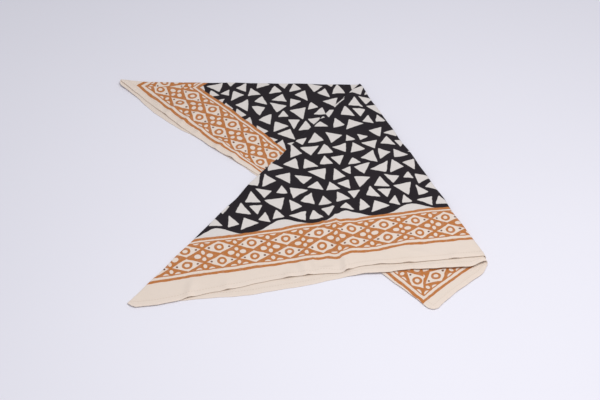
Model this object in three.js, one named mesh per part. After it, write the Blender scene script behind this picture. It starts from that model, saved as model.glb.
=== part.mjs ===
import * as THREE from 'three';

// Sizes of the flat cloth, in millimetres
const SIDE = 560; // side of the square, a small neck scarf
const SHEET = 1; // thickness of the cloth as built
const CORNERS = [18, 10, 10, 10]; // radii of the hem corners, from the far right one round
const CORNER_STEPS = 4;
const DIAGONAL = SIDE * Math.SQRT2;

// First fold: corner to corner, print outwards, the crease a little off the true diagonal
const CREASE_OFF_START = 3; // how far the crease lies off the first corner
const CREASE_OFF_END = -8.7; // and off the far corner
const LAYER_BEND = 0.8; // bend radius at mid-thickness, so layers stand 0.6 mm apart

// Second fold: the far half is turned over to the left along a slanting line
const FOLD_AT = 313.4; // along the crease to the top of the fold
const FOLD_ANGLE = THREE.MathUtils.degToRad(66); // between the crease and the fold
const FOLD_LENGTH = 363; // from the crease down to the front hem
const FOLD_BEND_TOP = 1.6; // bend radius where the fold is pressed flat
const FOLD_BEND_HEM = 3; // bend radius of the loose loop at the hem
const FOLD_REACH = 1.1; // the bend goes on widening this share of the fold's length
const LOOP_REACH = 140; // distance in which the turned flap settles from the loop

// The hems are cut unevenly: place along each hem, distance out, and half length of the wave
const HEM_WAVES = {
  near: [{ at: 262, out: -6, reach: 90 }],
  right: [
    { at: 45, out: -5, reach: 120 },
    { at: 185, out: 1, reach: 60 },
    { at: 307, out: -5, reach: 60 },
  ],
  far: [
    { at: 150, out: 2, reach: 60 },
    { at: 276, out: -6.5, reach: 65 },
  ],
  left: [
    { at: 85, out: 6, reach: 60 },
    { at: 170, out: -3, reach: 50 },
    { at: 262, out: -6, reach: 90 },
  ],
};
const HEM_MARGIN = 26; // plain margin in which the waves die away

// The far right corner is pulled out along its hem
const PULL = 8;
const PULL_ALONG = 230; // distance along the far hem in which the pull dies away
const PULL_DEPTH = 150; // and in from that hem

// The crease bows out a little beyond the second fold
const BOW = 3;
const BOW_START = 340; // along the crease
const BOW_END = 770;
const BOW_DEPTH = 90; // distance out from the crease in which the bow dies away

// Slack taken up in fan shapes round the top of the fold, angles in degrees from the fold line
const SLACK_UPPER = [{ from: 0, to: 40, taken: 7.9 }];
const SLACK_LOWER = [
  { from: -14, to: 7, taken: 7.2 },
  { from: 7, to: 24, taken: 0.7 },
];
const SLACK_ROUNDS = 8; // rounds that settle the lower layer's fold line

// The turned flap comes down onto the table past the front hem of the lower half
const STEP_START = 8; // clear of the hem
const STEP_WIDTH = 32;

// The first corner curls up a little
const CURL_LENGTH = 55;
const CURL_HEIGHT = 4;

// Soft ridges on the turned flap: ends along and across the crease, then half width and height
const RIDGES = [
  { s1: 286, y1: 195, s2: 309, y2: 340, width: 15, height: 2 },
  { s1: 309, y1: 14, s2: 300, y2: 68, width: 12, height: 1.2 },
  { s1: 246, y1: 336, s2: 260, y2: 284, width: 14, height: 1.5 },
];
const RIDGE_ENDS = 1 / 3; // share of its length in which a ridge rises from each end

// The crease lies turned by this much from left to right
const TURN = THREE.MathUtils.degToRad(-1.07);

// How finely the flat cloth is scored before it is folded
const GRID_CELLS = 24;
const CREASE_SCORES = 4; // strips round the first fold
const FOLD_SCORES = 6; // strips round the second fold
const MERGE = 1e4; // points closer than 1/MERGE are one

const CLOTH_COLOR = 0x8c7a6c;
const CLOTH_ROUGHNESS = 0.9;

// Rises smoothly from 0 to 1 as x runs from 0 to 1
function ease(x) {
  const c = THREE.MathUtils.clamp(x, 0, 1);
  return c * c * (3 - 2 * c);
}

// Offset of the crease from the true diagonal, s along it from the first corner
function creaseOffset(s) {
  return CREASE_OFF_START + ((CREASE_OFF_END - CREASE_OFF_START) * s) / DIAGONAL;
}

// Bend radius of the second fold, l along it from the crease
function foldRadius(l) {
  const along = THREE.MathUtils.clamp(l / FOLD_LENGTH, 0, FOLD_REACH);
  return FOLD_BEND_TOP + (FOLD_BEND_HEM - FOLD_BEND_TOP) * along;
}

// Angle of slack taken up at an angle from the fold line, both in degrees
function slackTaken(table, angle) {
  let taken = 0;
  for (const row of table) {
    taken += row.taken * ease((angle - row.from) / (row.to - row.from));
  }
  return taken;
}

// Distance out of a hem's wave, at a place along the hem and a depth in from it
function hemWave(table, along, depth) {
  let out = 0;
  for (const wave of table) {
    out += wave.out * ease(1 - Math.abs(along - wave.at) / wave.reach);
  }
  return out * ease(1 - depth / HEM_MARGIN);
}

// Folds the square along the crease: n is the distance out from mid-thickness on the print side
function foldInHalf(flatU, flatV, n) {
  const right = hemWave(HEM_WAVES.right, flatV, SIDE - flatU);
  const left = hemWave(HEM_WAVES.left, flatV, flatU);
  const far = hemWave(HEM_WAVES.far, flatU, SIDE - flatV);
  const near = hemWave(HEM_WAVES.near, flatU, flatV);
  const pull = PULL * ease(1 - (SIDE - flatU) / PULL_ALONG) * ease(1 - (SIDE - flatV) / PULL_DEPTH);
  const u = flatU + right - left;
  const v = flatV + far - near + pull;
  const s = (u + v) / Math.SQRT2;
  const d = (u - v) / Math.SQRT2 - creaseOffset(s);
  const quarter = (LAYER_BEND * Math.PI) / 2;
  const turn = THREE.MathUtils.clamp(d / LAYER_BEND, -Math.PI / 2, Math.PI / 2);
  const flat = Math.max(Math.abs(d) - quarter, 0);
  const along = THREE.MathUtils.clamp((s - BOW_START) / (BOW_END - BOW_START), 0, 1);
  const square = LAYER_BEND - (LAYER_BEND + n) * Math.cos(turn) + flat;
  const y = square - BOW * Math.sin(Math.PI * along) * ease(1 - square / BOW_DEPTH);
  const z = (LAYER_BEND + n) * Math.sin(turn);
  const upper = (1 + Math.sin(turn)) / 2;
  return { s, y, z, upper };
}

// Swings the cloth round the top of the fold to take up its slack
function takeUpSlack(p) {
  const ds = p.s - FOLD_AT;
  const reach = Math.hypot(ds, p.y);
  const bearing = Math.atan2(p.y, ds);
  const angle = THREE.MathUtils.radToDeg(FOLD_ANGLE - Math.atan2(Math.max(p.y, 0), ds));
  const upper = p.upper * slackTaken(SLACK_UPPER, angle);
  const lower = (1 - p.upper) * slackTaken(SLACK_LOWER, angle);
  const swung = bearing + THREE.MathUtils.degToRad(upper + lower);
  return { s: FOLD_AT + reach * Math.cos(swung), y: reach * Math.sin(swung), z: p.z };
}

// Height of the soft ridges at a point of the flap
function ridgeHeight(s, y) {
  let height = 0;
  for (const r of RIDGES) {
    const ds = r.s2 - r.s1;
    const dy = r.y2 - r.y1;
    const length = Math.hypot(ds, dy);
    const along = ((s - r.s1) * ds + (y - r.y1) * dy) / length;
    const across = ((s - r.s1) * dy - (y - r.y1) * ds) / length;
    const rise = length * RIDGE_ENDS;
    const ends = ease(along / rise) * ease((length - along) / rise);
    height += r.height * ends * ease(1 - Math.abs(across) / r.width);
  }
  return height;
}

// Turns the far half over along the second fold
function turnOver(p) {
  const cos = Math.cos(FOLD_ANGLE);
  const sin = Math.sin(FOLD_ANGLE);
  const beyond = (p.s - FOLD_AT) * sin - p.y * cos;
  const l = (p.s - FOLD_AT) * cos + p.y * sin;
  if (beyond < 0) {
    const curl = CURL_HEIGHT * Math.max(1 - p.s / CURL_LENGTH, 0) ** 2;
    return { s: p.s, y: p.y, z: p.z + curl };
  }
  const radius = foldRadius(l);
  const round = Math.min(beyond / radius, Math.PI);
  const over = Math.max(beyond - Math.PI * radius, 0);
  const m = (radius - p.z) * Math.sin(round) - over;
  const s = FOLD_AT + m * sin + l * cos;
  const y = l * sin - m * cos;
  const settled = 2 * (radius - FOLD_BEND_TOP) * ease(over / LOOP_REACH);
  const pastHem = (y - s) / Math.SQRT2;
  const step = over > 0 ? 2 * FOLD_BEND_TOP * ease((pastHem - STEP_START) / STEP_WIDTH) : 0;
  const ridge = over > 0 ? ridgeHeight(s, y) : 0;
  return { s, y, z: radius - (radius - p.z) * Math.cos(round) - settled - step + ridge };
}

// A point of the flat cloth in its folded place, +X right, +Y away, +Z up, resting on z = 0
function place(u, v, n) {
  const p = turnOver(takeUpSlack(foldInHalf(u, v, n)));
  return new THREE.Vector3(
    p.s * Math.cos(TURN) + p.y * Math.sin(TURN),
    p.s * Math.sin(TURN) - p.y * Math.cos(TURN),
    p.z + LAYER_BEND + SHEET / 2,
  );
}

// A straight score through two points of the flat cloth
function score(u1, v1, u2, v2) {
  const length = Math.hypot(u2 - u1, v2 - v1);
  const nu = (v1 - v2) / length;
  const nv = (u2 - u1) / length;
  return { nu, nv, off: nu * u1 + nv * v1 };
}

// Flat place of a point s along and y out from the crease, on the upper or the lower layer
function flatPoint(s, y, side) {
  const t = creaseOffset(s) + side * y;
  return [(s + t) / Math.SQRT2, (s - t) / Math.SQRT2];
}

// All scores: an even grid, strips round the crease, and strips round the second fold on each layer
function allScores() {
  const scores = [];
  for (let i = 1; i < GRID_CELLS; i += 1) {
    const at = (i * SIDE) / GRID_CELLS;
    scores.push(score(at, 0, at, SIDE));
    scores.push(score(0, at, SIDE, at));
  }
  for (let i = 0; i <= CREASE_SCORES; i += 1) {
    const out = (LAYER_BEND * Math.PI * (2 * i - CREASE_SCORES)) / (2 * CREASE_SCORES);
    scores.push(score(...flatPoint(0, out, 1), ...flatPoint(DIAGONAL, out, 1)));
  }
  let shift = 0;
  for (let i = 0; i < SLACK_ROUNDS; i += 1) {
    shift = slackTaken(SLACK_LOWER, shift);
  }
  for (const layer of [{ side: 1, shift: 0 }, { side: -1, shift }]) {
    const angle = FOLD_ANGLE - THREE.MathUtils.degToRad(layer.shift);
    for (let i = 0; i <= FOLD_SCORES; i += 1) {
      const ends = [0, FOLD_LENGTH].map((l) => {
        const m = (Math.PI * foldRadius(l) * i) / FOLD_SCORES;
        const s = FOLD_AT + l * Math.cos(angle) + m * Math.sin(angle);
        return flatPoint(s, l * Math.sin(angle) - m * Math.cos(angle), layer.side);
      });
      scores.push(score(...ends[0], ...ends[1]));
    }
  }
  return scores;
}

// Outline of the flat cloth, a square with turned corners, counter-clockwise from above
function outline() {
  const ring = [];
  const places = [[SIDE, SIDE], [0, SIDE], [0, 0], [SIDE, 0]];
  places.forEach(([u, v], quarter) => {
    const radius = CORNERS[quarter];
    const midU = u > 0 ? u - radius : radius;
    const midV = v > 0 ? v - radius : radius;
    for (let i = 0; i <= CORNER_STEPS; i += 1) {
      const turn = ((quarter + i / CORNER_STEPS) * Math.PI) / 2;
      ring.push([midU + radius * Math.cos(turn), midV + radius * Math.sin(turn)]);
    }
  });
  return ring;
}

// Splits one convex cell along a score into the parts on its two sides
function splitCell(cell, line) {
  const height = cell.map(([u, v]) => line.nu * u + line.nv * v - line.off);
  const tiny = 1 / MERGE;
  if (height.every((h) => h > -tiny) || height.every((h) => h < tiny)) {
    return [cell];
  }
  const above = [];
  const below = [];
  cell.forEach(([u, v], i) => {
    const next = (i + 1) % cell.length;
    const h = height[i];
    const hn = height[next];
    if (h > -tiny) {
      above.push([u, v]);
    }
    if (h < tiny) {
      below.push([u, v]);
    }
    if ((h > tiny && hn < -tiny) || (h < -tiny && hn > tiny)) {
      const part = h / (h - hn);
      const cut = [u + part * (cell[next][0] - u), v + part * (cell[next][1] - v)];
      above.push(cut);
      below.push(cut);
    }
  });
  return [above, below];
}

// Closed solid of the folded cloth: print side, reverse and the hem's edge all round
function clothGeometry() {
  let cells = [outline()];
  for (const line of allScores()) {
    cells = cells.flatMap((cell) => splitCell(cell, line));
  }
  const flat = [];
  const known = new Map();
  const pointAt = ([u, v]) => {
    const key = `${Math.round(u * MERGE)},${Math.round(v * MERGE)}`;
    if (!known.has(key)) {
      known.set(key, flat.length);
      flat.push([u, v]);
    }
    return known.get(key);
  };
  const triangles = [];
  const edges = new Map();
  for (const cell of cells) {
    const ring = cell.map(pointAt).filter((id, i, all) => id !== all[(i + 1) % all.length]);
    for (let i = 1; i < ring.length - 1; i += 1) {
      triangles.push([ring[0], ring[i], ring[i + 1]]);
    }
    ring.forEach((id, i) => {
      const next = ring[(i + 1) % ring.length];
      edges.set(`${id},${next}`, [id, next]);
    });
  }
  const count = flat.length;
  const index = [];
  for (const [a, b, c] of triangles) {
    index.push(a, b, c, count + a, count + c, count + b);
  }
  for (const [a, b] of edges.values()) {
    if (!edges.has(`${b},${a}`)) {
      index.push(count + a, count + b, b, count + a, b, a);
    }
  }
  const points = [];
  for (const n of [SHEET / 2, -SHEET / 2]) {
    points.push(...flat.map(([u, v]) => place(u, v, n)));
  }
  const geometry = new THREE.BufferGeometry().setFromPoints(points);
  geometry.setIndex(index);
  geometry.computeBoundingBox();
  const middle = geometry.boundingBox.getCenter(new THREE.Vector3());
  geometry.translate(-middle.x, -middle.y, -geometry.boundingBox.min.z);
  geometry.computeVertexNormals();
  return geometry;
}

const finish = new THREE.MeshStandardMaterial({ color: CLOTH_COLOR, roughness: CLOTH_ROUGHNESS });
const cloth = new THREE.Mesh(clothGeometry(), finish);
cloth.name = 'cloth';

const part = new THREE.Group();
part.name = 'folded_cloth';
part.add(cloth);

export default part;
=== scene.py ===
"""Looks of a folded, block-printed cotton cloth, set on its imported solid."""

import logging
import math
import random
from dataclasses import dataclass, field
from enum import Enum

import bpy
import numpy as np
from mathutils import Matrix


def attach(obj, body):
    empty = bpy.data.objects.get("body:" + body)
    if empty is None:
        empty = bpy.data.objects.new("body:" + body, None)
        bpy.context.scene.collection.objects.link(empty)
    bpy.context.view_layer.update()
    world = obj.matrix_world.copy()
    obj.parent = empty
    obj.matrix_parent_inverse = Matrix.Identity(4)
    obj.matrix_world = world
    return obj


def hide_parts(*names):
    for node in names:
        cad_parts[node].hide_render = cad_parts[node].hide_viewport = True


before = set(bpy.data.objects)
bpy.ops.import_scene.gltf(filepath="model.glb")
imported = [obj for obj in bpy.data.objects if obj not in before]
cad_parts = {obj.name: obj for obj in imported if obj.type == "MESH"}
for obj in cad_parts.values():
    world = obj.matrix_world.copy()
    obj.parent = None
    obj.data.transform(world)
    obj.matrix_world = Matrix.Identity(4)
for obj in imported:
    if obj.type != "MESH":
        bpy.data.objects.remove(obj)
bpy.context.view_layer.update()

MM = 0.001
ROOT2 = math.sqrt(2.0)
LOG = logging.getLogger("folded_cloth")

# In millimetres: the cloth's side, one lozenge, the far hem's start and the border's depth.
SIDE = 560.0
PITCH = 38.34
FAR_PHASE = 478.7
FIELD_START = 84.6

# Detail, roughness, lacunarity and distortion of the noise nodes.
SOFT_NOISE = (2.0, 0.5, 2.0, 0.0)
GRAINY_NOISE = (3.0, 0.6, 2.0, 0.0)

Tree = bpy.types.NodeTree
Socket = bpy.types.NodeSocket
Array = np.ndarray
Placed = tuple[Array, Array]


def linear(hex_colour: str) -> tuple[float, float, float, float]:
    """Turns an sRGB hex colour into linear light.

    Args:
        hex_colour: Six hex digits, such as "c9b8a6".

    Returns:
        Red, green, blue and an alpha of 1, in linear light.
    """
    channels = [int(hex_colour[i:i + 2], 16) / 255 for i in (0, 2, 4)]
    light = [c / 12.92 if c <= 0.04045 else ((c + 0.055) / 1.055) ** 2.4 for c in channels]
    return (*light, 1.0)


def add(tree: Tree, kind: str, *inputs: object, **settings: object) -> Socket | None:
    """Adds a node, sets it and links it.

    Args:
        tree: Node tree that gets the node.
        kind: Type name of the node after "ShaderNode", with a dot and its operation where it has one.
        *inputs: A socket to link or a value to set for each input in order; None leaves one as it is.
        **settings: Properties of the node, set before its inputs are filled.

    Returns:
        The node's first output that is in use, or None where it has no outputs.
    """
    kind, _, operation = kind.partition(".")
    node = tree.nodes.new("ShaderNode" + kind)
    if operation:
        settings["operation"] = operation
    for name, value in settings.items():
        setattr(node, name, value)
    sockets = [s for s in node.inputs if s.enabled]
    for socket, value in zip(sockets, inputs):
        if isinstance(value, Socket):
            tree.links.new(value, socket)
        elif value is not None:
            socket.default_value = value
    return next((s for s in node.outputs if s.enabled), None)


def blank_material(name: str) -> bpy.types.Material:
    """Makes a material whose node tree is still empty.

    Args:
        name: Name of the material.

    Returns:
        The material.
    """
    material = bpy.data.materials.new(name)
    material.use_nodes = True
    material.node_tree.nodes.clear()
    return material


def ease(x: Array) -> Array:
    """Rises smoothly from 0 to 1 as x runs from 0 to 1."""
    c = np.clip(x, 0.0, 1.0)
    return c * c * (3.0 - 2.0 * c)


class Edge(Enum):
    """The four hems of the flat cloth, named from its first corner."""

    NEAR = "near"
    RIGHT = "right"
    FAR = "far"
    LEFT = "left"


class Layer(Enum):
    """The two layers of the first fold, each with its side of the crease."""

    UPPER = 1
    LOWER = -1


@dataclass(frozen=True)
class Wave:
    """One bulge of an unevenly cut hem, in millimetres."""

    at: float
    out: float
    reach: float


@dataclass(frozen=True)
class Slack:
    """A fan of cloth taken up round the top of the second fold, in degrees from the fold line."""

    start: float
    end: float
    taken: float


@dataclass(frozen=True)
class Crease:
    """A soft ridge between two ends, or a trough where the height is negative, in millimetres.

    The ends are places along the first crease and out from it, and the width is to one side. In a list of
    drags, the height is how far the cloth is dragged out from the first crease instead.
    """

    s1: float
    y1: float
    s2: float
    y2: float
    width: float
    height: float


@dataclass(frozen=True)
class Sine:
    """One wave of a fine unevenness: height and length per radian in millimetres, start in radians."""

    height: float
    length: float
    start: float


@dataclass(frozen=True)
class Ripple:
    """One faint swell of laid cotton, bent by a slower one, with lengths per radian in millimetres."""

    heading: tuple[float, float]
    length: float
    start: float
    bend_heading: tuple[float, float]
    bend_length: float
    bend: float

    def rise(self, s: Array, y: Array) -> Array:
        """Height of the swell, from 0 to 2."""
        bend = self.bend * np.sin((self.bend_heading[0] * s + self.bend_heading[1] * y) / self.bend_length)
        return 1 + np.sin((self.heading[0] * s + self.heading[1] * y) / self.length + bend + self.start)


@dataclass
class FoldMap:
    """Carries points of the flat square into their folded places, with sizes in millimetres."""

    side: float = SIDE

    # The first fold: its crease strays from the true diagonal and bows towards its far end.
    crease_off_start: float = 3.0
    crease_off_end: float = -8.7
    layer_bend: float = 0.8
    bow: float = 3.0
    bow_start: float = 340.0
    bow_end: float = 770.0
    bow_depth: float = 90.0

    # The second fold: a slanting line from fold_at on the crease, with a bend that opens to the hem.
    fold_at: float = 313.4
    fold_angle: float = math.radians(66.0)
    fold_length: float = 363.0
    fold_overrun: float = 1.1
    fold_bend_top: float = 1.6
    fold_bend_hem: float = 3.0
    slack_upper: tuple[Slack, ...] = (Slack(0, 40, 7.9),)
    slack_lower: tuple[Slack, ...] = (Slack(-14, 7, 7.2), Slack(7, 24, 0.7))
    slack_rounds: int = 8

    # How the flap comes down from the bend and over the hem below, and how the left tip curls.
    loop_reach: float = 140.0
    step_start: float = 8.0
    step_width: float = 32.0
    settle_length: float = 12.0
    curl_length: float = 55.0
    curl_height: float = 4.0

    # Where the folded cloth lies in the frame.
    turn: float = math.radians(-1.07)
    middle: tuple[float, float] = (229.32, -199.59)
    rest_height: float = 1.3

    # The far right corner, pulled out, and the hems, which sink a little below the cloth beside them.
    pull: float = 8.0
    pull_along: float = 230.0
    pull_depth: float = 150.0
    droop: float = 0.55
    droop_margin: float = 14.0

    # Folds pressed by hand and hems drawn in by their thread, both finely uneven.
    waver_margin: float = 24.0
    fold_waver: float = 1.6
    fold_sines: tuple[Sine, ...] = (Sine(0.25, 7.3, 0), Sine(0.25, 12.1, 1), Sine(0.2, 31.0, 2))
    pull_margin: float = 14.0
    hem_sines: tuple[Sine, ...] = (Sine(0.2, 3.9, 0), Sine(0.3, 9.7, 1), Sine(0.35, 23.0, 2))
    hem_margin: float = 26.0
    hem_waves: dict[Edge, tuple[Wave, ...]] = field(default_factory=lambda: {
        Edge.NEAR: (Wave(262, -6, 90), Wave(268, -3, 45), Wave(215, -2.5, 110)),
        Edge.RIGHT: (Wave(45, -5, 120), Wave(105, -7, 23), Wave(185, 1, 60), Wave(307, -5, 60),
                     Wave(425, 2, 60), Wave(545, -4, 100)),
        Edge.FAR: (Wave(150, 2, 60), Wave(276, -6.5, 65), Wave(375, -6, 110), Wave(520, 5, 60)),
        Edge.LEFT: (Wave(85, 4, 60), Wave(170, -3, 50), Wave(262, -6, 90), Wave(225, -3.5, 110)),
    })

    # Ripples, ridges and creases. The ridges lift every layer of the flap, the rest the top layer alone.
    ripple_height: float = 0.15
    ripples: tuple[Ripple, ...] = (
        Ripple((1, 0), 17, 0, (0, 1), 29, 1.3),
        Ripple((0, 1), 13, 2, (1, 0), 37, 1.1),
        Ripple((1, 1.4), 23, 0, (-1, 1), 41, 1.2),
    )
    trough_limit: float = -0.6
    wing_fade: float = 25.0
    crease_end_share: float = 1 / 3
    ridges: tuple[Crease, ...] = (
        Crease(286, 195, 309, 340, 15, 2.0), Crease(309, 14, 300, 68, 12, 1.2),
        Crease(246, 336, 260, 284, 14, 1.5),
    )
    flap_creases: tuple[Crease, ...] = (
        Crease(275, 214, 285, 296, 13, 2.6), Crease(277, 200, 286, 270, 5, 1.8),
        Crease(284, 246, 291, 318, 5, 2.6), Crease(289, 300, 304, 352, 5, 2.4),
        Crease(267, 238, 273, 288, 5, 1.8), Crease(300, 210, 318, 345, 8, -0.5),
        Crease(304, 12, 318, 66, 5, 1.6), Crease(256, 314, 267, 340, 5, 2.0),
        Crease(262, 336, 288, 332, 5, 2.0), Crease(242, 322, 259, 352, 6, 2.0),
        Crease(296, 320, 298, 346, 4, 1.6), Crease(116, 414, 126, 345, 8, 1.9),
        Crease(170, 406, 160, 348, 7, 1.7), Crease(220, 400, 236, 330, 9, 2.2),
        Crease(262, 394, 262, 346, 8, 2.0), Crease(288, 390, 276, 344, 6, 1.9),
        Crease(328, 382, 338, 318, 10, 2.0), Crease(376, 374, 366, 312, 8, 1.7),
        Crease(413, 368, 424, 300, 9, 1.8), Crease(402, 318, 330, 296, 9, 1.4),
        Crease(210, 190, 262, 232, 9, 1.4), Crease(340, 120, 392, 236, 12, 1.4),
        Crease(262, 120, 300, 150, 10, 1.2),
    )
    flap_drags: tuple[Crease, ...] = (
        Crease(285, 284, 291, 348, 15, 5.0), Crease(372, 268, 366, 330, 20, -2.0),
    )
    wing_creases: tuple[Crease, ...] = (
        Crease(60, 40, 150, 60, 9, 1.2), Crease(64, 70, 90, 40, 7, 1.8),
        Crease(84, 88, 113, 57, 6, 2.2), Crease(106, 108, 128, 78, 7, 1.6),
        Crease(130, 134, 158, 110, 6, 2.0), Crease(151, 154, 176, 122, 7, 1.8),
        Crease(40, 8, 66, 62, 7, 1.4), Crease(170, 15, 205, 90, 12, 1.2),
        Crease(268, 2, 296, 22, 6, 1.4), Crease(130, 96, 165, 160, 8, 1.2),
    )

    @staticmethod
    def summed(sines: tuple[Sine, ...], along: Array) -> Array:
        """Sum of a list of fine waves at a place along a fold or hem."""
        return sum(w.height * np.sin(along / w.length + w.start) for w in sines)

    def crease_offset(self, s: Array) -> Array:
        """Offset of the first crease from the true diagonal, s along it."""
        return self.crease_off_start + (self.crease_off_end - self.crease_off_start) * s / (self.side * ROOT2)

    def fold_radius(self, along: Array) -> Array:
        """Bend radius of the second fold at a place along it from the crease."""
        opened = np.clip(along / self.fold_length, 0, self.fold_overrun)
        return self.fold_bend_top + (self.fold_bend_hem - self.fold_bend_top) * opened

    @staticmethod
    def taken(table: tuple[Slack, ...], angle: Array) -> Array:
        """Slack taken up at an angle from the fold line, in degrees."""
        return sum(row.taken * ease((angle - row.start) / (row.end - row.start)) for row in table)

    def lower_shift(self) -> float:
        """Finds by repeated rounds the angle by which the lower layer's fold line is turned in the flat.

        Returns:
            The angle in degrees.
        """
        shift = 0.0
        for _ in range(self.slack_rounds):
            shift = float(self.taken(self.slack_lower, np.array(shift)))
        return shift

    def hem_wave(self, edge: Edge, along: Array, depth: Array) -> Array:
        """Distance that a hem's waves push a point out.

        Args:
            edge: The hem.
            along: Place along the hem.
            depth: Distance in from the hem.

        Returns:
            Distance outwards, for each point.
        """
        out = sum(w.out * ease(1 - np.abs(along - w.at) / w.reach) for w in self.hem_waves[edge])
        pulled = self.summed(self.hem_sines, along)
        return out * ease(1 - depth / self.hem_margin) + pulled * ease(1 - depth / self.pull_margin)

    def relief(self, creases: tuple[Crease, ...], s: Array, y: Array) -> Array:
        """Height of a list of creases.

        Args:
            creases: The creases.
            s: Place along the first crease.
            y: Place out from the first crease.

        Returns:
            Height added, for each point.
        """
        height = np.zeros_like(s)
        for c in creases:
            ds, dy = c.s2 - c.s1, c.y2 - c.y1
            length = math.hypot(ds, dy)
            fade = length * self.crease_end_share
            along = ((s - c.s1) * ds + (y - c.y1) * dy) / length
            across = ((s - c.s1) * dy - (y - c.y1) * ds) / length
            ends = ease(along / fade) * ease((length - along) / fade)
            height += c.height * ends * ease(1 - np.abs(across) / c.width)
        return height

    def crumple(self, creases: tuple[Crease, ...], s: Array, y: Array) -> Array:
        """Height of a list of creases with the ripple of laid cotton, no deeper than the trough limit."""
        rippled = self.ripple_height * sum(row.rise(s, y) for row in self.ripples)
        return np.maximum(self.relief(creases, s, y) + rippled, self.trough_limit)

    def spread(self, square: Array) -> Array:
        """Moves points of the true square to where the uneven hems and the pulled far corner take them.

        Args:
            square: Distances from the left hem and from the near hem, one row each.

        Returns:
            The same distances on the uneven flat cloth.
        """
        u, v = square[:, 0], square[:, 1]
        right, far = self.side - u, self.side - v
        pulled = self.pull * ease(1 - right / self.pull_along) * ease(1 - far / self.pull_depth)
        across = self.hem_wave(Edge.RIGHT, v, right) - self.hem_wave(Edge.LEFT, v, u)
        along = self.hem_wave(Edge.FAR, u, far) - self.hem_wave(Edge.NEAR, u, v)
        return np.stack([u + across, v + along + pulled], axis=-1)

    def first_fold(self, flat: Array) -> tuple[Array, ...]:
        """Folds the uneven flat cloth corner to corner, then swings each layer to take up its slack.

        Args:
            flat: Distances from the left hem and from the near hem, one row each.

        Returns:
            Place along the crease, place out from it, height, and 1 in the upper layer and 0 in the lower.
        """
        u, v = flat[:, 0], flat[:, 1]
        s = (u + v) / ROOT2
        d = (u - v) / ROOT2 - self.crease_offset(s)
        turn = np.clip(d / self.layer_bend, -math.pi / 2, math.pi / 2)
        y = self.layer_bend * (1 - np.cos(turn)) + np.maximum(np.abs(d) - self.layer_bend * math.pi / 2, 0)
        z = self.layer_bend * np.sin(turn)
        upper = (1 + np.sin(turn)) / 2
        bowed = np.clip((s - self.bow_start) / (self.bow_end - self.bow_start), 0, 1)
        y = y - self.bow * np.sin(math.pi * bowed) * ease(1 - y / self.bow_depth)
        y = y - self.summed(self.fold_sines, s) * ease(1 - y / self.waver_margin)
        reach = np.hypot(s - self.fold_at, y)
        bearing = np.arctan2(y, s - self.fold_at)
        angle = np.degrees(self.fold_angle - np.arctan2(np.maximum(y, 0), s - self.fold_at))
        swung = bearing + np.radians(upper * self.taken(self.slack_upper, angle)
                                     + (1 - upper) * self.taken(self.slack_lower, angle))
        return self.fold_at + reach * np.cos(swung), reach * np.sin(swung), z, upper

    def second_fold(self, s: Array, y: Array, z: Array) -> tuple[Array, ...]:
        """Turns the far half over along the slanting line and lets it down onto what lies below.

        Args:
            s: Place along the first crease.
            y: Place out from it.
            z: Height.

        Returns:
            Place along, place out, height, distance beyond the fold line, and distance past its bend.
        """
        cos, sin = math.cos(self.fold_angle), math.sin(self.fold_angle)
        along = (s - self.fold_at) * cos + y * sin
        beyond = (s - self.fold_at) * sin - y * cos
        radius = self.fold_radius(along)
        turned = np.clip(beyond / radius, 0, math.pi)
        over = np.maximum(beyond - math.pi * radius, 0)
        across = np.where(beyond < 0, beyond, (radius - z) * np.sin(turned) - over)
        wavered = self.fold_waver * self.summed(self.fold_sines, along)
        across = across + wavered * ease(1 - np.abs(across) / self.waver_margin)
        z = np.where(beyond < 0, z, radius - (radius - z) * np.cos(turned))
        s, y = self.fold_at + across * sin + along * cos, along * sin - across * cos
        past_hem = (y - s) / ROOT2
        drop = 2 * (radius - self.fold_bend_top) * ease(over / self.loop_reach)
        step = 2 * self.fold_bend_top * ease((past_hem - self.step_start) / self.step_width)
        z = z + np.where(over > 0, self.relief(self.ridges, s, y) - drop - step, 0)
        z = z + np.where(beyond < 0, self.curl_height * np.maximum(1 - s / self.curl_length, 0) ** 2, 0)
        return s, y, z, beyond, over

    def place(self, flat: Array, hem_depth: Array) -> Array:
        """Folds points of the uneven flat cloth and creases its top layers.

        Args:
            flat: Distances from the left hem and from the near hem, one row each.
            hem_depth: Distance in from the nearest hem.

        Returns:
            Points at mid-thickness, in millimetres, +X right, +Y away and +Z up, one row each.
        """
        s, y, z, upper = self.first_fold(flat)
        s, y, z, beyond, over = self.second_fold(s, y, z)

        settled = ease(over / self.settle_length) * (1 - upper)
        y = y + settled * self.relief(self.flap_drags, s, y)
        z = z + settled * self.crumple(self.flap_creases, s, y)
        top = np.where(over > 0, settled, np.where(beyond < 0, upper, 0))
        z = z - self.droop * top * ease(1 - hem_depth / self.droop_margin)
        slope = 2 * self.fold_angle - math.radians(self.slack_upper[0].taken)
        left_of_flap = -(s - self.fold_at) * math.sin(slope) + y * math.cos(slope)
        open_wing = np.where(beyond < 0, ease(left_of_flap / self.wing_fade), 0) * upper
        z = z + open_wing * self.crumple(self.wing_creases, s, y)

        x = s * math.cos(self.turn) + y * math.sin(self.turn)
        away = s * math.sin(self.turn) - y * math.cos(self.turn)
        return np.stack([x - self.middle[0], away - self.middle[1], z + self.rest_height], axis=-1)


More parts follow.
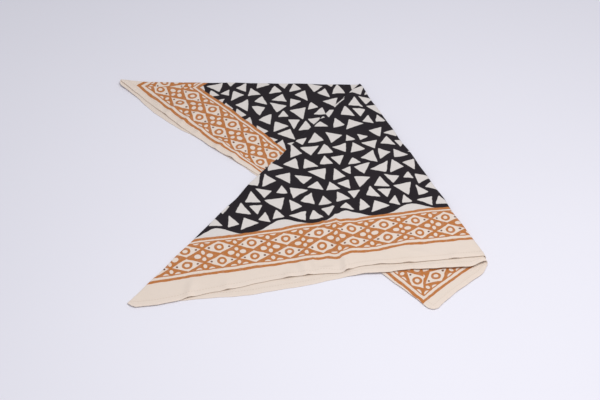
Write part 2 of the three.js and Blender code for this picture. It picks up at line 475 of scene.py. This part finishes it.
@dataclass(frozen=True)
class Scallops:
    """Wavy edge of the black field along the far hem, in millimetres."""

    start: float = SIDE - FIELD_START
    half_wave: float = PITCH
    phase: float = FAR_PHASE
    height: float = 12.5
    flat_share: float = 0.18

    def edge(self, u: Array) -> Array:
        """Distance from the near hem to the wavy edge.

        Args:
            u: Distance from the left hem.

        Returns:
            Distance to the edge, for each point.
        """
        step = np.mod(u - self.phase, 2 * self.half_wave)
        wave = np.minimum(step, 2 * self.half_wave - step) / self.half_wave
        return self.start - self.height * ease((wave - self.flat_share) / (1 - self.flat_share))

    def past(self, tree: Tree, u: Socket, v: Socket) -> Socket:
        """Nodes for the distance past the wavy edge.

        Args:
            tree: Node tree.
            u: Distance from the left hem.
            v: Distance from the near hem.

        Returns:
            Distance past the edge, negative in the field.
        """
        from_phase = add(tree, "Math.SUBTRACT", u, self.phase)
        wave = add(tree, "Math.PINGPONG", from_phase, self.half_wave)
        edge = add(tree, "MapRange", wave, self.flat_share * self.half_wave, self.half_wave, self.start,
                   self.start - self.height, interpolation_type="SMOOTHSTEP")
        return add(tree, "Math.SUBTRACT", v, edge)


@dataclass
class TriangleRepeat:
    """One square repeat of the field's cut triangles, laid out afresh from a seed, in millimetres.

    It is four half waves of the scallops wide, so that the row beside them can keep clear of them.
    """

    scallops: Scallops = Scallops()
    size: float = 4 * PITCH
    columns: int = 8
    rows: int = 7
    reach: tuple[float, float] = (9.8, 13.6)
    scales: tuple[float, float] = (0.7, 1.12)
    skew: float = 0.3
    slip: float = 5.0
    gap: float = 3.3
    neighbour_reach: float = 34.0
    scale_worth: float = 10.0
    gap_cost: float = 6.0
    tries: int = 70
    sweeps: int = 4
    seed: int = 55
    placed: list[Placed] = field(init=False)

    def __post_init__(self) -> None:
        """Lays the triangles out once."""
        self.placed = self.layout()

    def corners(self, rng: random.Random, scale: float) -> Array:
        """Corners of one uneven triangle.

        Args:
            rng: Source of the random draws.
            scale: Size of the triangle, 1 for the usual reach.

        Returns:
            The corners round the triangle's own middle, counter-clockwise.
        """
        start = rng.uniform(0, 2 * math.pi)
        points = []
        for k in range(3):
            angle = start + 2 * math.pi * k / 3 + rng.uniform(-self.skew, self.skew)
            heading = (math.cos(angle), math.sin(angle))
            points.append([c * scale * rng.uniform(*self.reach) for c in heading])
        shape = np.array(points)
        return shape - shape.mean(axis=0)

    @staticmethod
    def parted(a: Array, b: Array) -> float:
        """Distance that parts two convex outlines.

        Args:
            a: Corners of one, counter-clockwise.
            b: Corners of the other, counter-clockwise.

        Returns:
            The distance, negative where they overlap.
        """
        best = -math.inf
        for p, q in ((a, b), (b, a)):
            sides = np.roll(p, -1, axis=0) - p
            normals = np.stack([sides[:, 1], -sides[:, 0]], axis=1)
            normals /= np.linalg.norm(normals, axis=1)[:, None]
            heights = (q[None, :, :] - p[:, None, :]) @ normals[:, :, None]
            best = max(best, float(heights[:, :, 0].min(axis=1).max()))
        return best

    def room(self, middle: Array, shape: Array, others: list[Placed]) -> float:
        """Smallest distance from one triangle to the scallops and to the others, over the repeat's edges too.

        Args:
            middle: The triangle's middle.
            shape: Its corners round the middle.
            others: Middle and corners of each other triangle.

        Returns:
            The distance, negative where it overlaps one or crosses the scallops.
        """
        points = middle + np.concatenate([shape, (shape + np.roll(shape, 1, axis=0)) / 2])
        below = self.scallops.edge(points[:, 0]) - points[:, 1]
        below = below - self.size * np.round(below.mean() / self.size)
        least = float(max(below.min(), -below.max()))
        for other_middle, other_shape in others:
            away = other_middle - middle
            away = away - self.size * np.round(away / self.size)
            if np.hypot(*away) < self.neighbour_reach:
                least = min(least, self.parted(shape, other_shape + away))
        return least

    def layout(self) -> list[Placed]:
        """Places the triangles so that each is as large as its neighbours leave room for.

        Returns:
            Middle and corners of each triangle.
        """
        rng = random.Random(self.seed)
        across, deep = self.size / self.columns, self.size / self.rows
        grid = [np.array([(i + 0.5 * (j % 2)) * across, j * deep]) for j in range(self.rows)
                for i in range(self.columns)]
        placed = [(home, self.corners(rng, self.scales[0])) for home in grid]
        for _ in range(self.sweeps):
            for n, home in enumerate(grid):
                others = placed[:n] + placed[n + 1:]
                best, best_score = placed[n], -math.inf
                for _ in range(self.tries):
                    scale = rng.uniform(*self.scales)
                    shape = self.corners(rng, scale)
                    middle = home + np.array([rng.uniform(-self.slip, self.slip) for _ in home])
                    short = max(self.gap - self.room(middle, shape, others), 0)
                    score = self.scale_worth * scale - self.gap_cost * short
                    if score > best_score:
                        best, best_score = (middle, shape), score
                placed[n] = best
        return placed


@dataclass(frozen=True)
class BlockPrint:
    """Plain-weave cotton, undyed cream, hand-printed from cut blocks: matt, with soft uneven edges.

    The dye sits in the threads, so it takes the cloth's own dull surface and only its colour changes.
    Sizes are in millimetres.
    """

    name: str = "block_printed_cotton"
    side: float = SIDE
    strength: float = 1.0

    # Cream cotton, paler where the black was printed round it, and dyes that took thinly in places.
    cream: str = "f5e9df"
    cream_thin: str = "f3e6d9"
    pale: str = "ece7e4"
    rust: str = "d28a4c"
    rust_deep: str = "bf7236"
    dot_brown: str = "7f523c"
    black: str = "231d23"
    black_thin: str = "2a242a"
    stitch_shade: str = "c4ab92"
    mottle_size: float = 4.0
    patch_size: float = 55.0
    mottle_range: tuple[float, float] = (0.3, 0.55)
    thin_cover: float = 0.86

    # Loose fibres scatter light: hardly any gloss, a faint sheen, and some light that comes through.
    roughness: float = 0.88
    gloss: float = 0.2
    nap: float = 0.1
    sheer: float = 0.22
    thread: float = 0.8
    weave_height: float = 0.25
    slubs: tuple[tuple[float, float, float], ...] = ((0.9, 0.05, 0.0), (0.05, 0.9, 0.0))
    bump: float = 0.3
    bump_depth: float = 0.15

    # Blocks set down by hand: length and reach of each wander, and the blur of dye in cloth.
    wanders: tuple[tuple[float, float], ...] = ((70.0, 5.0), (22.0, 2.2), (7.0, 1.2))
    soft: float = 0.35

    # The border, measured in from each hem, with each hem's own shift and start.
    pitch: float = PITCH
    row: float = 21.45
    first_row: float = 45.7
    line_half: float = 2.0
    closing_half: float = 0.8
    outer_line: float = 28.5
    inner_line: float = 82.9
    near_shift: float = 17.7
    near_drift: float = 8.0
    near_drift_from: float = 150.0
    right_shift: float = 9.1
    near_phase: float = 53.6
    far_phase: float = FAR_PHASE
    side_phase: float = 41.6
    ring: float = 4.2
    ring_half: float = 1.5
    dot_at: float = 11.5
    dot: float = 1.35
    lozenge: float = 0.89
    lozenge_soft: float = 0.035
    petals: tuple[tuple[tuple[float, float], tuple[float, float]], ...] = (
        ((6.8, 0.0), (3.7, 3.15)),
        ((0.0, 5.1), (2.2, 2.85)),
    )
    petal_soft: float = 0.1

    # The black field and its triangles, with corners that are rounded in the cutting.
    field_start: float = FIELD_START
    scallops: Scallops = Scallops()
    cut_round: float = 2.4

    # Stitches along the hem.
    stitch: float = 3.2
    stitch_share: float = 0.3
    stitch_soft: float = 0.2
    stitch_at: float = 6.5
    stitch_half: float = 0.35
    stitch_side_soft: float = 0.25
    stitch_show: float = 0.3

    @staticmethod
    def inside(tree: Tree, distance: Socket, limit: float, soft: float) -> Socket:
        """Nodes for 1 where a distance is below its limit, with the soft edge of dye in cloth."""
        return add(tree, "MapRange", distance, limit - soft, limit + soft, 1.0, 0.0,
                   interpolation_type="SMOOTHSTEP")

    @staticmethod
    def off(tree: Tree, place: Socket, middle: float) -> Socket:
        """Nodes for the distance of a place from a middle, to either side."""
        return add(tree, "Math.ABSOLUTE", add(tree, "Math.SUBTRACT", place, middle))

    def wander(self, tree: Tree, flat: Socket) -> Socket:
        """Shifts the print as a hand-held block does: a slow wander, and edges cut by hand.

        Args:
            tree: Node tree.
            flat: Place on the flat cloth in millimetres.

        Returns:
            The place in the print.
        """
        at = flat
        for length, reach in self.wanders:
            noise = add(tree, "TexNoise", flat, 1 / length, *SOFT_NOISE, noise_dimensions="2D")
            shift = add(tree, "VectorMath.SUBTRACT", noise.node.outputs["Color"], (0.5, 0.5, 0.5))
            shift = add(tree, "VectorMath.MULTIPLY", shift, (reach, reach, 0.0))
            at = add(tree, "VectorMath.ADD", at, shift)
        return at

    def border(self, tree: Tree, at: Socket) -> tuple[Socket, Socket, Socket]:
        """Depth in from the nearest hem and place along it, with each hem's own start.

        Args:
            tree: Node tree.
            at: Place in the print in millimetres.

        Returns:
            Depth, place along, and distance past the scallops of the far hem.
        """
        u, v, _ = add(tree, "SeparateXYZ", at).node.outputs
        drift = add(tree, "MapRange", u, self.near_drift_from, self.side, self.near_shift,
                    self.near_shift + self.near_drift)
        near = add(tree, "Math.ADD", v, drift)
        far = add(tree, "Math.SUBTRACT", self.side, v)
        right = add(tree, "Math.SUBTRACT", self.side + self.right_shift, u)
        near_first = add(tree, "Math.LESS_THAN", near, far)
        phase = add(tree, "Mix", near_first, self.far_phase, self.near_phase)
        along_u = add(tree, "Math.SUBTRACT", u, phase)
        along_v = add(tree, "Math.SUBTRACT", v, self.side_phase)
        ends = add(tree, "Math.MINIMUM", near, far)
        sides = add(tree, "Math.MINIMUM", right, u)
        ends_first = add(tree, "Math.LESS_THAN", ends, sides)
        along = add(tree, "Mix", ends_first, along_v, along_u)
        depth = add(tree, "Math.MINIMUM", ends, sides)
        return depth, along, self.scallops.past(tree, u, v)

    def rust_masks(self, tree: Tree, depth: Socket, along: Socket) -> tuple[Socket, Socket]:
        """The border's lozenges, rings, petals and lines.

        Args:
            tree: Node tree.
            depth: Distance in from the hem.
            along: Place along the hem, 0 at a ring.

        Returns:
            Where rust is printed, and where the dark dots are.
        """
        half_pitch, half_row = self.pitch / 2, self.row / 2
        x = add(tree, "Math.PINGPONG", along, half_pitch)
        from_row = add(tree, "Math.SUBTRACT", depth, self.first_row)
        y = add(tree, "Math.PINGPONG", from_row, half_row)
        cell = add(tree, "CombineXYZ", x, y, 0.0)
        share = add(tree, "VectorMath.DOT_PRODUCT", cell, (1 / half_pitch, 1 / half_row, 0.0))
        lozenge = self.inside(tree, share, self.lozenge, self.lozenge_soft)
        radius = add(tree, "VectorMath.LENGTH", cell)
        ring = self.inside(tree, self.off(tree, radius, self.ring), self.ring_half, self.soft)
        dot_reach = add(tree, "VectorMath.DISTANCE", cell, (self.dot_at, 0.0, 0.0))
        dots = self.inside(tree, dot_reach, self.dot, self.soft)
        petals = None
        for middle, radii in self.petals:
            start = (half_pitch - middle[0], half_row - middle[1], 0.0)
            away = add(tree, "VectorMath.SUBTRACT", cell, start)
            away = add(tree, "VectorMath.MULTIPLY", away, (1 / radii[0], 1 / radii[1], 0.0))
            petal = self.inside(tree, add(tree, "VectorMath.LENGTH", away), 1.0, self.petal_soft)
            petals = petal if petals is None else add(tree, "Math.MAXIMUM", petals, petal)
        gap = add(tree, "Math.SUBTRACT", 1.0, petals)
        lattice = add(tree, "Mix", lozenge, gap, ring)
        off_band = self.off(tree, from_row, half_row)
        band = self.inside(tree, off_band, self.row, self.soft)
        rust = add(tree, "Math.MULTIPLY", lattice, band)
        for place, line, half in ((off_band, self.row, self.closing_half),
                                  (depth, self.outer_line, self.line_half),
                                  (depth, self.inner_line, self.line_half)):
            on_line = self.inside(tree, self.off(tree, place, line), half, self.soft)
            rust = add(tree, "Math.MAXIMUM", rust, on_line)
        dots = add(tree, "Math.MULTIPLY", dots, lozenge)
        return rust, add(tree, "Math.MULTIPLY", dots, band)

    def black_mask(self, tree: Tree, at: Socket, depth: Socket, past: Socket,
                   repeat: TriangleRepeat) -> Socket:
        """The black field with its triangles left in the cloth's own colour.

        Args:
            tree: Node tree.
            at: Place in the print in millimetres.
            depth: Distance in from the nearest hem.
            past: Distance past the scallops of the far hem.
            repeat: The triangles' repeat.

        Returns:
            Where black is printed.
        """
        half = repeat.size / 2
        nearest = None
        for middle, shape in repeat.placed:
            away = add(tree, "VectorMath.SUBTRACT", at, (*middle, 0.0))
            away = add(tree, "VectorMath.WRAP", away, (half, half, 1.0), (-half, -half, 1.0))
            outside = None
            for start, end in zip(shape, np.roll(shape, -1, axis=0)):
                normal = np.array([end[1] - start[1], start[0] - end[0]]) / np.hypot(*(end - start))
                plane = (*normal, -float(normal @ start))
                reach = add(tree, "VectorMath.DOT_PRODUCT", away, plane)
                if outside is not None:
                    reach = add(tree, "Math.SMOOTH_MAX", outside, reach, self.cut_round)
                outside = reach
            nearest = outside if nearest is None else add(tree, "Math.MINIMUM", nearest, outside)
        white = self.inside(tree, nearest, 0.0, self.soft)
        border = self.inside(tree, depth, self.field_start, self.soft)
        beyond = add(tree, "Math.SUBTRACT", 1.0, self.inside(tree, past, 0.0, self.soft))
        plain = add(tree, "Math.MAXIMUM", white, border)
        plain = add(tree, "Math.MAXIMUM", plain, beyond)
        return add(tree, "Math.SUBTRACT", 1.0, plain)

    def stitches(self, tree: Tree, flat: Socket) -> Socket:
        """The run of small stitches along each hem.

        Args:
            tree: Node tree.
            flat: Place on the flat cloth in millimetres.

        Returns:
            1 on a stitch.
        """
        u, v, _ = add(tree, "SeparateXYZ", flat).node.outputs
        from_side = add(tree, "Math.PINGPONG", u, self.side / 2)
        from_end = add(tree, "Math.PINGPONG", v, self.side / 2)
        side_first = add(tree, "Math.LESS_THAN", from_side, from_end)
        along = add(tree, "Mix", side_first, u, v)
        depth = add(tree, "Math.MINIMUM", from_side, from_end)
        step = add(tree, "Math.PINGPONG", along, self.stitch / 2)
        dash = self.inside(tree, step, self.stitch_share * self.stitch, self.stitch_soft)
        off_run = self.off(tree, depth, self.stitch_at)
        run = self.inside(tree, off_run, self.stitch_half, self.stitch_side_soft)
        return add(tree, "Math.MULTIPLY", dash, run)

    def colour(self, tree: Tree, flat: Socket, repeat: TriangleRepeat) -> Socket:
        """Lays the cream cloth, the rust border and the black field over each other.

        Args:
            tree: Node tree.
            flat: Place on the flat cloth in millimetres.
            repeat: The triangles' repeat.

        Returns:
            The colour.
        """
        at = self.wander(tree, flat)
        depth, along, past = self.border(tree, at)
        rust, dots = self.rust_masks(tree, depth, along)
        black = self.black_mask(tree, at, depth, past, repeat)
        mottle = add(tree, "TexNoise", flat, 1 / self.mottle_size, *GRAINY_NOISE, noise_dimensions="2D")
        patch = add(tree, "TexNoise", flat, 1 / self.patch_size, *SOFT_NOISE, noise_dimensions="2D")
        thin = self.strength * self.thin_cover
        cover = add(tree, "MapRange", mottle, *self.mottle_range, thin, self.strength)
        colour = add(tree, "Mix", patch, linear(self.cream), linear(self.cream_thin), data_type="RGBA")
        within = add(tree, "Math.GREATER_THAN", depth, self.inner_line)
        colour = add(tree, "Mix", within, colour, linear(self.pale), data_type="RGBA")
        rust_dye = add(tree, "Mix", mottle, linear(self.rust_deep), linear(self.rust), data_type="RGBA")
        black_dye = add(tree, "Mix", patch, linear(self.black), linear(self.black_thin), data_type="RGBA")
        for mask, take, dye in ((rust, cover, rust_dye), (dots, cover, linear(self.dot_brown)),
                                (black, self.strength, black_dye)):
            dyed = add(tree, "Math.MULTIPLY", mask, take)
            colour = add(tree, "Mix", dyed, colour, dye, data_type="RGBA")
        sewn = add(tree, "Math.MULTIPLY", self.stitches(tree, flat), self.stitch_show)
        return add(tree, "Mix", sewn, colour, linear(self.stitch_shade), data_type="RGBA")

    def surface(self, tree: Tree, flat: Socket) -> Socket:
        """Threads and slubs as a bump; the threads are drawn about twice their real width so that they show.

        Args:
            tree: Node tree.
            flat: Place on the flat cloth in millimetres.

        Returns:
            The bumped normal.
        """
        turns = add(tree, "VectorMath.MULTIPLY", flat, (2 * math.pi / self.thread,) * 3)
        waves = add(tree, "VectorMath.SINE", turns)
        over, under, _ = add(tree, "SeparateXYZ", waves).node.outputs
        weave = add(tree, "Math.MULTIPLY", over, under)
        height = add(tree, "Math.MULTIPLY", weave, self.weave_height)
        for stretch in self.slubs:
            place = add(tree, "VectorMath.MULTIPLY", flat, stretch)
            slub = add(tree, "TexNoise", place, 1.0, *SOFT_NOISE, noise_dimensions="2D")
            height = add(tree, "Math.ADD", height, slub)
        return add(tree, "Bump", self.bump, self.bump_depth * MM, None, height)

    def build(self, repeat: TriangleRepeat) -> bpy.types.Material:
        """Makes the material.

        Args:
            repeat: The triangles' repeat.

        Returns:
            The finished material.
        """
        material = blank_material(self.name)
        tree = material.node_tree
        place = add(tree, "UVMap", uv_map="flat")
        flat = add(tree, "VectorMath.MULTIPLY", place, (self.side, self.side, 0.0))
        colour = self.colour(tree, flat, repeat)
        shader = add(tree, "BsdfPrincipled", colour).node
        shader.inputs["Roughness"].default_value = self.roughness
        shader.inputs["Specular IOR Level"].default_value = self.gloss
        shader.inputs["Sheen Weight"].default_value = self.nap
        tree.links.new(self.surface(tree, flat), shader.inputs["Normal"])
        through = add(tree, "BsdfTranslucent", colour)
        sheer = add(tree, "MixShader", self.sheer, shader.outputs[0], through)
        add(tree, "OutputMaterial", sheer)
        return material


@dataclass
class Cloth:
    """The folded cloth: one thin sheet with a turned hem, sizes in millimetres."""

    fold: FoldMap = field(default_factory=FoldMap)
    cells: int = 180

    # Radii of the corners, from the far right one round by the left.
    corners: tuple[float, ...] = (18.0, 10.0, 10.0, 10.0)
    corner_cuts: int = 4
    sheet: float = 0.45
    hem: float = 0.95
    hem_edge: float = 1.0
    hem_width: float = 8.0
    hem_step: float = 1.0
    bend_cuts: int = 8
    score_from: float = 1.0
    smooth_angle: float = math.radians(50.0)

    def cut(self, start: Array, end: Array, clear: bool = False) -> None:
        """Bisects the flat sheet along a line.

        Args:
            start: A point of the line, as distances from the left hem and from the near hem.
            end: A later point of it.
            clear: Whether what lies to the right of the line is dropped.
        """
        run = (end - start) / np.hypot(*(end - start))
        middle = (start - self.fold.side / 2) * MM
        bpy.ops.mesh.select_all(action="SELECT")
        bpy.ops.mesh.bisect(plane_co=(*middle, 0.0), plane_no=(run[1], -run[0], 0.0), clear_outer=clear)

    def flat_point(self, s: float, y: float, layer: Layer, shift: float) -> Array:
        """Place on the flat cloth of a point of a layer.

        Args:
            s: Place along the first crease.
            y: Place out from it.
            layer: The layer of the first fold.
            shift: Slack at the fold line, in degrees.

        Returns:
            Distances from the left hem and from the near hem.
        """
        fold = self.fold
        reach = math.hypot(s - fold.fold_at, y)
        bearing = math.atan2(y, s - fold.fold_at) - math.radians(shift)
        s, y = fold.fold_at + reach * math.cos(bearing), reach * math.sin(bearing)
        d = float(fold.crease_offset(np.array(s))) + layer.value * y
        return np.array([(s + d) / ROOT2, (s - d) / ROOT2])

    def round_corners(self) -> None:
        """Cuts the four corners round."""
        half = self.fold.side / 2
        right_angle = math.pi / 2
        for quarter, corner in enumerate(self.corners):
            diagonal = right_angle * (quarter + 0.5)
            signs = np.sign([math.cos(diagonal), math.sin(diagonal)])
            for k in range(1, self.corner_cuts + 1):
                angle = right_angle * (quarter + k / (self.corner_cuts + 1))
                out = np.array([math.cos(angle), math.sin(angle)])
                touch = half + signs * (half - corner) + out * corner
                self.cut(touch, touch + np.array([-out[1], out[0]]), clear=True)

    def score_folds(self) -> None:
        """Cuts lines through the sheet where it bends, so that the bends are round."""
        fold = self.fold
        ends = np.array([0.0, fold.side * ROOT2])
        for k in range(self.bend_cuts + 1):
            d = fold.layer_bend * math.pi * (k / self.bend_cuts - 0.5) + fold.crease_offset(ends)
            self.cut(*np.stack([ends + d, ends - d], axis=1) / ROOT2)
        cos, sin = math.cos(fold.fold_angle), math.sin(fold.fold_angle)
        for layer, shift in ((Layer.UPPER, 0.0), (Layer.LOWER, fold.lower_shift())):
            for k in range(self.bend_cuts + 1):
                line = []
                for along in (self.score_from, fold.fold_length):
                    beyond = math.pi * k / self.bend_cuts * float(fold.fold_radius(np.array(along)))
                    s, y = fold.fold_at + along * cos + beyond * sin, along * sin - beyond * cos
                    line.append(self.flat_point(s, y, layer, shift))
                self.cut(*line)

    def score_hems(self) -> None:
        """Cuts the lines where the turned hem ends."""
        side = self.fold.side
        for depth in (self.hem_edge, self.hem_width, self.hem_width + self.hem_step):
            for near in (depth, side - depth):
                self.cut(np.array([near, 0.0]), np.array([near, side]))
                self.cut(np.array([0.0, near]), np.array([side, near]))

    def flat_sheet(self) -> bpy.types.Object:
        """Makes the flat cloth with its corners, hems and fold lines.

        Returns:
            The sheet, centred on the origin.
        """
        bpy.ops.object.select_all(action="DESELECT")
        bpy.ops.mesh.primitive_grid_add(x_subdivisions=self.cells, y_subdivisions=self.cells,
                                        size=self.fold.side * MM, calc_uvs=True)
        piece = bpy.context.object
        piece.name = piece.data.name = "printed_cloth"
        piece.data.uv_layers[0].name = "flat"
        bpy.ops.object.mode_set(mode="EDIT")
        self.round_corners()
        self.score_hems()
        bpy.ops.object.mode_set(mode="OBJECT")
        half = self.fold.side / 2
        spread = self.fold.spread(self.points(piece)[:, :2] + half) - half
        self.move(piece, np.pad(spread, ((0, 0), (0, 1))))
        bpy.ops.object.mode_set(mode="EDIT")
        self.score_folds()
        bpy.ops.object.mode_set(mode="OBJECT")
        return piece

    @staticmethod
    def points(piece: bpy.types.Object) -> Array:
        """Reads the places of a mesh's vertices.

        Args:
            piece: The piece.

        Returns:
            Places in millimetres, one row each.
        """
        places = np.empty(len(piece.data.vertices) * 3)
        piece.data.vertices.foreach_get("co", places)
        return places.reshape(-1, 3) / MM

    @staticmethod
    def move(piece: bpy.types.Object, places: Array) -> None:
        """Moves a mesh's vertices to places in millimetres."""
        piece.data.vertices.foreach_set("co", (places * MM).ravel())
        piece.data.update()

    def fold_up(self, piece: bpy.types.Object) -> None:
        """Marks the hem and carries each vertex of the flat sheet into its folded place.

        The depth from the hem is that on the true square, which the flat map still holds.

        Args:
            piece: The flat sheet.
        """
        mesh = piece.data
        corners = np.empty(len(mesh.loops), dtype=np.int32)
        mesh.loops.foreach_get("vertex_index", corners)
        shares = np.empty(len(mesh.loops) * 2)
        mesh.uv_layers["flat"].data.foreach_get("uv", shares)
        square = np.empty((len(mesh.vertices), 2))
        square[corners] = shares.reshape(-1, 2) * self.fold.side
        depth = np.minimum(square, self.fold.side - square).min(axis=1)
        hem = piece.vertex_groups.new(name="hem")
        turned = (depth > self.hem_edge / 2) & (depth < self.hem_width + self.hem_step / 2)
        hem.add([int(i) for i in np.nonzero(turned)[0]], 1.0, "REPLACE")
        flat = self.points(piece)[:, :2] + self.fold.side / 2
        self.move(piece, self.fold.place(flat, depth))

    def thicken(self, piece: bpy.types.Object) -> None:
        """Gives the sheet its thickness, about double at the hem, with the reverse as its second finish.

        Args:
            piece: The folded sheet.
        """
        solid = piece.modifiers.new("sheet", "SOLIDIFY")
        solid.thickness = self.hem * MM
        solid.offset = 0.0
        solid.vertex_group = "hem"
        solid.thickness_vertex_group = self.sheet / self.hem
        solid.material_offset = 1
        bpy.ops.object.modifier_apply(modifier=solid.name)
        bpy.ops.object.shade_smooth_by_angle(angle=self.smooth_angle)

    def build(self, face: bpy.types.Material, reverse: bpy.types.Material) -> bpy.types.Object:
        """Makes the piece and sets it in the frame.

        Args:
            face: Finish of the printed side.
            reverse: Finish of the back of the cloth.

        Returns:
            The finished piece.
        """
        piece = self.flat_sheet()
        self.fold_up(piece)
        piece.data.materials.append(face)
        piece.data.materials.append(reverse)
        self.thicken(piece)
        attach(piece, "root")
        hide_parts("cloth")
        return piece


@dataclass(frozen=True)
class MattTop:
    """White melamine-faced board, pressed smooth: matt, with a faint cool unevenness."""

    name: str = "matt_white_board"
    light: str = "e9e9f2"
    dark: str = "e4e4ee"
    roughness: float = 0.7
    gloss: float = 0.1
    clouds_per_metre: float = 2.0

    def build(self) -> bpy.types.Material:
        """Makes the material.

        Returns:
            The finished material.
        """
        material = blank_material(self.name)
        tree = material.node_tree
        place = add(tree, "TexCoord").node.outputs["Object"]
        cloud = add(tree, "TexNoise", place, self.clouds_per_metre, *SOFT_NOISE)
        colour = add(tree, "Mix", cloud, linear(self.dark), linear(self.light), data_type="RGBA")
        shader = add(tree, "BsdfPrincipled", colour).node
        shader.inputs["Roughness"].default_value = self.roughness
        shader.inputs["Specular IOR Level"].default_value = self.gloss
        add(tree, "OutputMaterial", shader.outputs[0])
        return material


@dataclass
class Studio:
    """Plain pale floor, soft light from the right, and the camera; places in metres, lens in millimetres."""

    floor_size: float = 8.0
    key_at: tuple[float, float, float] = (0.3, -0.38, 1.25)
    key_size: float = 0.9
    key_power: float = 12.2
    key_colour: str = "fffdfa"
    sky: str = "f0f0f6"
    sky_strength: float = 0.5
    aim: tuple[float, float] = (0.009, -0.023)
    elevation: float = math.radians(43.5)
    distance: float = 1.739
    lens: float = 87.06
    sensor: float = 36.0

    def floor(self) -> bpy.types.Object:
        """Lays the floor.

        Returns:
            The floor.
        """
        bpy.ops.mesh.primitive_plane_add(size=self.floor_size, location=(0, 0, 0))
        floor = bpy.context.object
        floor.name = "floor"
        floor.data.materials.append(MattTop().build())
        return floor

    def lights(self) -> None:
        """Sets a large soft light up to the right and a pale sky all round."""
        tilt = math.atan2(math.hypot(*self.key_at[:2]), self.key_at[2])
        heading = math.atan2(self.key_at[1], self.key_at[0]) + math.pi / 2
        bpy.ops.object.light_add(type="AREA", location=self.key_at, rotation=(tilt, 0.0, heading))
        key = bpy.context.object
        key.name = "key_light"
        key.data.shape = "DISK"
        key.data.size = self.key_size
        key.data.energy = self.key_power
        key.data.color = linear(self.key_colour)[:3]
        world = bpy.data.worlds.new("studio")
        world.use_nodes = True
        world.node_tree.nodes.clear()
        sky = add(world.node_tree, "Background", linear(self.sky), self.sky_strength)
        add(world.node_tree, "OutputWorld", sky)
        bpy.context.scene.world = world
        bpy.context.scene.view_settings.view_transform = "Standard"

    def camera(self) -> None:
        """Sets the camera in front of the cloth, looking down at it."""
        back, up = self.distance * math.cos(self.elevation), self.distance * math.sin(self.elevation)
        bpy.ops.object.camera_add(location=(self.aim[0], self.aim[1] - back, up),
                                  rotation=(math.pi / 2 - self.elevation, 0.0, 0.0))
        camera = bpy.context.object
        camera.name = "camera"
        camera.data.lens = self.lens
        camera.data.sensor_fit = "HORIZONTAL"
        camera.data.sensor_width = self.sensor
        bpy.context.scene.camera = camera


def main() -> None:
    """Builds the cloth and the studio, and reports each piece."""
    logging.basicConfig(level=logging.INFO, format="%(message)s")
    bpy.ops.object.select_all(action="DESELECT")
    repeat = TriangleRepeat()
    studio = Studio()
    floor = studio.floor()
    face = BlockPrint().build(repeat)
    reverse = BlockPrint(name="block_printed_cotton_reverse", strength=0.55).build(repeat)
    piece = Cloth().build(face, reverse)
    LOG.info("%s: %d faces", piece.name, len(piece.data.polygons))
    studio.lights()
    studio.camera()


if __name__ == "__main__":
    main()
